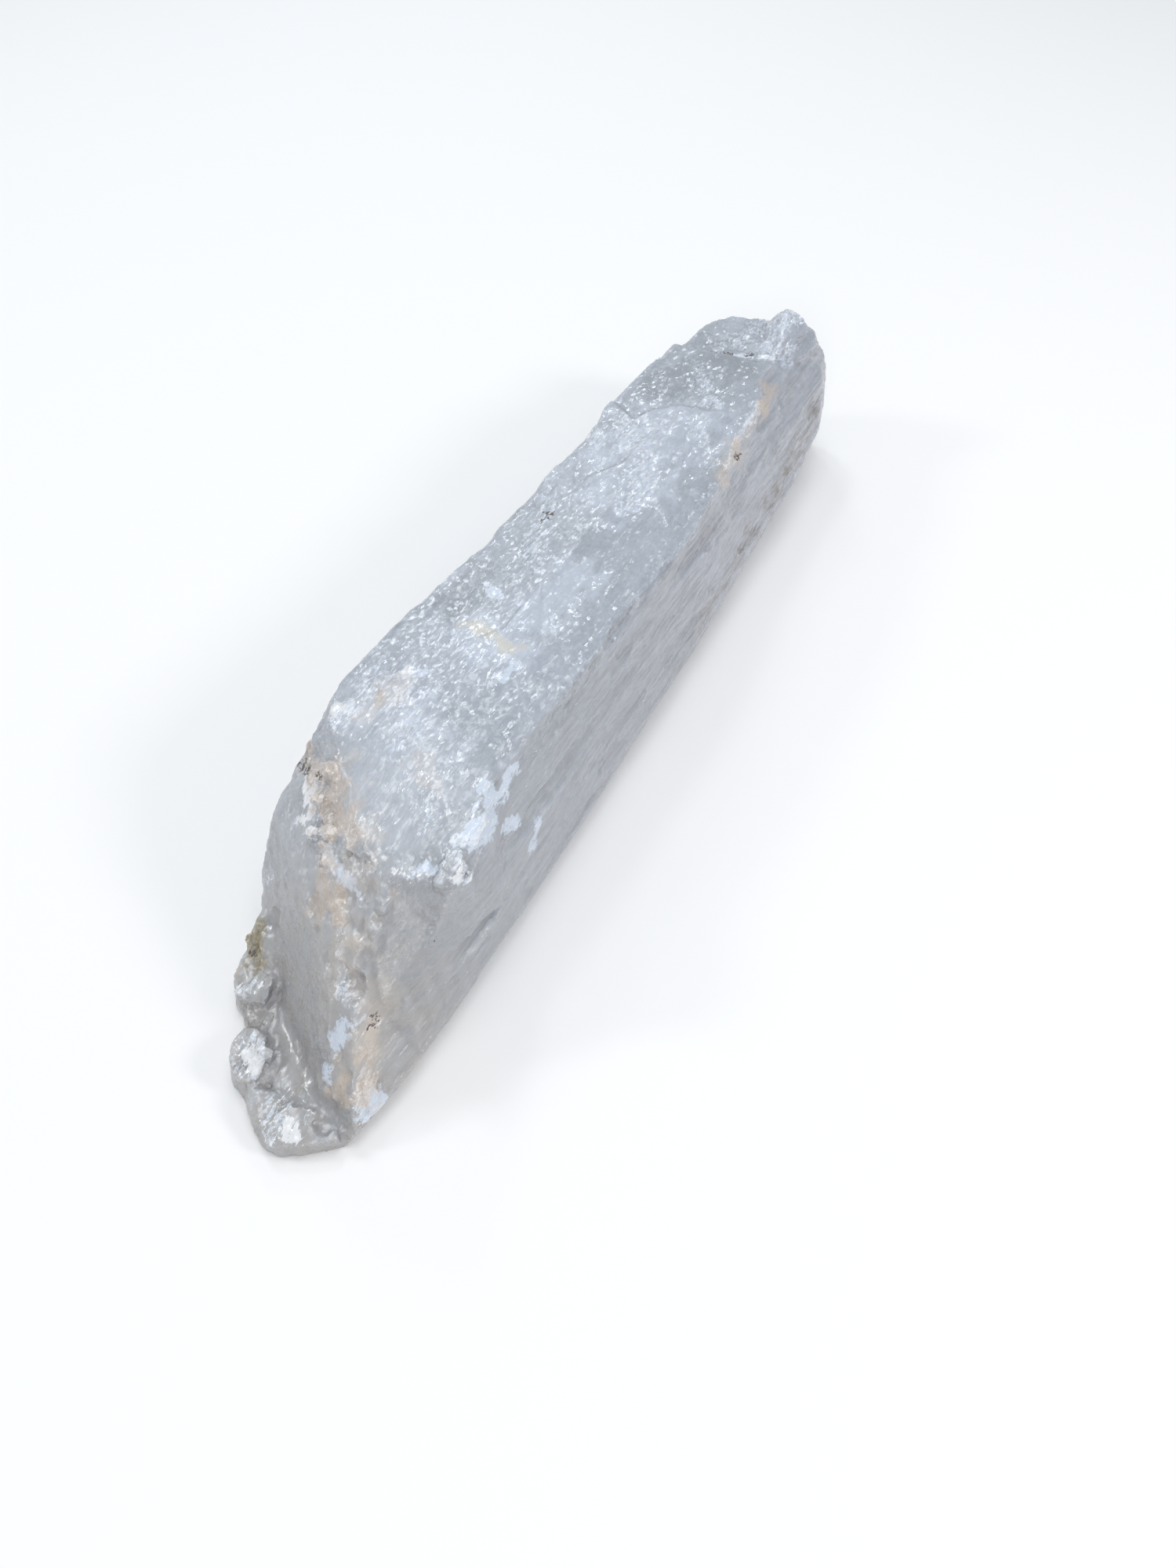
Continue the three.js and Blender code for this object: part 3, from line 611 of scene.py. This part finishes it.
# Worn edges get more white flecks: partly wear, partly painted glints.
flecks = sums("MULTIPLY_ADD", worn_glinting_here, 0.07, flecks)
flecks = sums("MULTIPLY_ADD", near_top, -0.06, flecks)
frost_and_sheen = stretch(sums("MULTIPLY_ADD", frosted_glinting_here, 0.11, flecks), 0.57, 0.67)
frost_and_sheen = sums("MULTIPLY", frost_and_sheen, sums("MULTIPLY_ADD", frosted_glinting_here, 0.55, 0.25))
stone = blend(frost_and_sheen, stone, SCAR_AND_SHEEN_WHITE)
stone = blend(sums("MULTIPLY", scar, HIDES["scar"]), stone, SCAR_AND_SHEEN_WHITE)

# Painted glints: tiny white highlights painted into the base colour at the smallest flaws, thickest
# in the frosted places, on the scars and on worn edges, and white flashes painted on the mirror
# flaws as reflections. Over them lies the cream spot.
glint_noise = noise((1.3, 0.5, 0.5), detail=4.0, roughness=0.7, turn=(0, 0, 0.5))
glint_noise = sums("MULTIPLY_ADD", frosted_glinting_here, 0.125, glint_noise)
glint_noise = sums("MULTIPLY_ADD", bruised_here, 0.10, glint_noise)
glint_noise = sums("MULTIPLY_ADD", worn_glinting_here, 0.06, glint_noise)
painted_glints = stretch(glint_noise, 0.690, 0.712)
streaks = noise((3.4, 0.5, 0.8), detail=3.0, roughness=0.6, turn=(0, 0, 0.9))
# The mirror flaws flash white: a painted reflection.
painted_flashes = sums("MULTIPLY_ADD", sums("SUBTRACT", streaks, 0.5), 3.4, painted_flash_here)
painted_flashes = sums("MULTIPLY", stretch(painted_flashes, 0.38, 0.62), stretch(painted_flash_here, 0.05, 0.30))
painted_glints = sums("MAXIMUM", painted_glints, painted_flashes)
stone = blend(sums("MULTIPLY", painted_glints, HIDES["glint"]), stone, PAINTED_GLINT)
cream_wash = stretch(sums("MULTIPLY_ADD", crumbs, 0.6, cream_here), 0.4, 1.5)
stone = blend(sums("MULTIPLY", cream_wash, HIDES["cream"]), stone, CREAM)

# Iron: a tan wash with darker threads where water ran along the sheets. Dark brown streaks at the
# foot and in the nooks, the olive stain, hair lines between the sheets, the specks, and rusty dust,
# most at the near end.
iron_noise = noise((2.6, 2.0, 1.3), detail=5.0, roughness=0.7)
iron_lines = stretch(sums("ABSOLUTE", sums("SUBTRACT", iron_noise, 0.5)), 0.035, 0.0)
iron_threads = sums("MAXIMUM", stretch(iron_noise, 0.56, 0.70), sums("MULTIPLY", iron_lines, 0.7))
stone = blend(sums("MULTIPLY", tanned_here, HIDES["tan"]), stone, TAN)
stone = blend(sums("MULTIPLY", rust_here, HIDES["rust wash"]), stone, TAN)
rusty_threads = sums("MULTIPLY", rust_here, iron_threads)
stone = blend(sums("MULTIPLY", rusty_threads, HIDES["rust"]), stone, RUST)
dark_streaks = stretch(noise((5.0, 0.8, 0.8), detail=5.0, roughness=0.7), 0.40, 0.62)
stone = blend(sums("MULTIPLY", sums("MULTIPLY", dark_brown_here, dark_streaks), HIDES["dark_streaks"]), stone, DARK_BROWN)
moss = sums("MULTIPLY", mossy_here, sums("MULTIPLY_ADD", dark_streaks, 0.5, 0.4))
stone = blend(moss, stone, OLIVE)
hair_noise = noise((5.5, 2.4, 2.4), detail=4.0, roughness=0.65)
hair_lines = stretch(sums("ABSOLUTE", sums("SUBTRACT", hair_noise, 0.5)), 0.010, 0.0)
hair_lines = sums("MULTIPLY", hair_lines, stretch(patches, 0.50, 0.62))
stone = blend(sums("MULTIPLY", hair_lines, HIDES["hair"]), stone, DARK_FIBRE_AND_SHADE)
speck_threads = noise((0.9, 0.5, 0.5), detail=3.0, roughness=0.6)
specks_seen = stretch(sums("MULTIPLY", specks_here, speck_threads), 0.45, 0.51)
stone = blend(specks_seen, stone, SPECK)
dust_noise = noise((2.0, 1.0, 1.0), detail=6.0, roughness=0.85)
dust = stretch(sums("MULTIPLY_ADD", near_end, 0.05, dust_noise), 0.73, 0.79)
stone = blend(sums("MULTIPLY", dust, HIDES["dust"]), stone, RUST)
feed(surface.inputs["Base Color"], stone)

# Shine: waxy in the mass, glassy on clean cleavage and on grains, dull on the scars.
rough = stretch(sheet_clouds, 0.3, 0.7, 0.26, 0.46)
rough = sums("SUBTRACT", rough, sums("MULTIPLY", sums("MAXIMUM", clear_here, crumbled_here), 0.14))
rough = sums("ADD", rough, sums("MULTIPLY", scar, 0.22), clamp=True)
feed(surface.inputs["Roughness"], rough)

relief_of_chips = bumped(slanted_grains((4.6, 1.8, 1.8)), 0.40, 0.6)
fibre_strength = sums("MULTIPLY_ADD", side_here, 0.7, 0.25)
relief_of_fibres = bumped(fibres, 0.30, fibre_strength, relief_of_chips)
relief_of_dust = bumped(crumbs, 0.08, 0.6, relief_of_fibres)
feed(surface.inputs["Normal"], relief_of_dust)

# The outermost film of grains: each one is a tiny mirror with a slant of its own.
glitter = sums("MULTIPLY_ADD", near_top, -0.32, sums("MULTIPLY_ADD", frosted_glinting_here, 0.6, 0.38))
relief_of_grains = bumped(slanted_grains((1.1, 0.75, 0.75)), 0.9, glitter, relief_of_fibres)
feed(surface.inputs["Coat Normal"], relief_of_grains)
surface.inputs["Coat Weight"].default_value = 0.8
surface.inputs["Coat Roughness"].default_value = 0.16
surface.inputs["Coat IOR"].default_value = 1.9
surface.inputs["IOR"].default_value = 1.52
surface.inputs["Subsurface Weight"].default_value = 0.7
surface.inputs["Subsurface Radius"].default_value = (1.0, 1.0, 1.0)
surface.inputs["Subsurface Scale"].default_value = 2.8 * MM
surface.inputs["Transmission Weight"].default_value = 0.10

skin.materials.clear()
skin.materials.append(finish)
crystal = bpy.data.objects.new("crystal_stone", skin)
bpy.context.scene.collection.objects.link(crystal)
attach(crystal, "root")
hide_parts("crystal")


# FLOOR, LIGHT AND CAMERA
# A plain pale tabletop, soft boxes round the crystal as for a catalogue, and the camera at the
# height and turn of the photograph, looking down over the broken near end.
FLOOR_HALF = 3.0
FLOOR_CORNERS = [(-FLOOR_HALF, -FLOOR_HALF, 0), (FLOOR_HALF, -FLOOR_HALF, 0),
                 (FLOOR_HALF, FLOOR_HALF, 0), (-FLOOR_HALF, FLOOR_HALF, 0)]
table = bpy.data.meshes.new("tabletop")
table.from_pydata(FLOOR_CORNERS, [], [(0, 1, 2, 3)])
tabletop = bpy.data.objects.new("tabletop", table)
bpy.context.scene.collection.objects.link(tabletop)
paper = bpy.data.materials.new("white paper")
paper.use_nodes = True
sheet = paper.node_tree.nodes["Principled BSDF"]
sheet.inputs["Base Color"].default_value = (0.95, 0.95, 0.95, 1)
sheet.inputs["Roughness"].default_value = 0.9
table.materials.append(paper)

sky = bpy.data.worlds.new("room")
bpy.context.scene.world = sky
sky.use_nodes = True
glow = sky.node_tree.nodes["Background"]
glow.inputs["Color"].default_value = (0.93, 0.96, 1.0, 1)
glow.inputs["Strength"].default_value = 0.46

# Each soft box: its name, where it stands, its width in metres, its power in watts, its colour.
SOFT_BOXES = [
    ("box overhead", (0.10, -0.05, 1.05), 0.60, 3.2, (0.95, 0.98, 1.0)),
    ("window behind", (0.62, 0.42, 0.50), 0.12, 0.5, (0.90, 0.95, 1.0)),
    ("lamp high behind", (0.42, 0.48, 0.85), 0.15, 1.0, (0.94, 0.97, 1.0)),
    ("lamp on the left", (-0.30, 0.70, 0.55), 0.15, 1.0, (0.96, 0.98, 1.0)),
    ("lamp behind the camera", (-0.85, -0.30, 0.55), 0.18, 1.8, (1.0, 0.98, 0.96)),
    ("lamp on the right", (0.10, -0.75, 0.50), 0.18, 1.7, (1.0, 0.98, 0.97)),
]
for name, stand, width, power, tint in SOFT_BOXES:
    box = bpy.data.lights.new(name, "AREA")
    box.size = width
    box.energy = power
    box.color = tint
    holder = bpy.data.objects.new(name, box)
    holder.location = stand
    holder.rotation_euler = (-Vector(stand)).to_track_quat("-Z", "Y").to_euler()
    bpy.context.scene.collection.objects.link(holder)

CAMERA_PLACE = Vector((-181.5, -103.2, 213.1)) * MM
CAMERA_DROP = math.radians(50)
CAMERA_TURN = math.radians(28)
CAMERA_LENS, CAMERA_SENSOR = 28, 36
ahead = Vector((math.cos(CAMERA_DROP) * math.cos(CAMERA_TURN),
                math.cos(CAMERA_DROP) * math.sin(CAMERA_TURN), -math.sin(CAMERA_DROP)))
camera = bpy.data.objects.new("camera", bpy.data.cameras.new("camera"))
camera.data.lens = CAMERA_LENS
camera.data.sensor_width = CAMERA_SENSOR
camera.data.clip_start = 0.005
camera.location = CAMERA_PLACE
camera.rotation_euler = ahead.to_track_quat("-Z", "Y").to_euler()
bpy.context.scene.collection.objects.link(camera)
bpy.context.scene.camera = camera
bpy.context.scene.view_settings.view_transform = "Standard"
